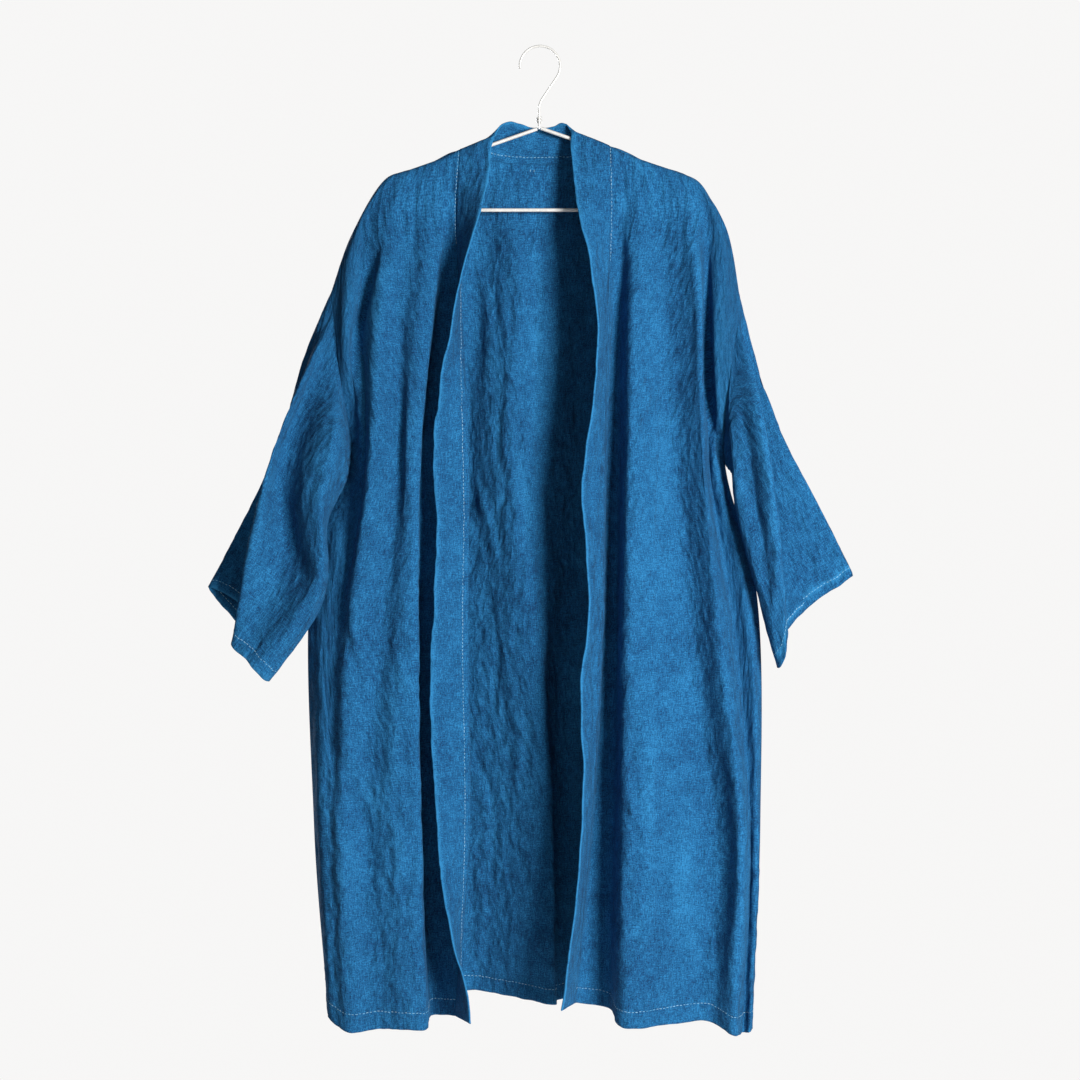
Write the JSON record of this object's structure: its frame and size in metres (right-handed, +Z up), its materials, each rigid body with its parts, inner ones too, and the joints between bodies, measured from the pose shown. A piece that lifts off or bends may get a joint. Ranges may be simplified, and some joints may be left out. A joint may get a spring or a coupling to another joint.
{
  "type": "haori on a wire hanger",
  "caption": "Long unlined linen haori hanging open on a wire hanger, with a doubled collar band turned out on one front and wide straight sleeves.",
  "frame": {"origin": "the underside of the top of the hanger's hook, where it bears on a nail or rail", "axes": "+Z up, +X to the wearer's left, -Y to the front"},
  "size_m": [0.7786, 0.1291, 1.1798],
  "materials": {
    "linen": "indigo-dyed plain-weave linen, matt, slubby and crumpled",
    "collar_linen": "the same linen folded double",
    "wire": "pale satin steel wire"
  },
  "bodies": {
    "root": {"back": "linen", "front_right": "linen", "front_left": "linen", "sleeve_right": "linen", "sleeve_left": "linen", "collar": "collar_linen", "hanger_hook": "wire", "hanger_twist": "wire", "hanger_arm_right": "wire", "hanger_arm_left": "wire", "hanger_bar": "wire"}
  },
  "joints": []
}
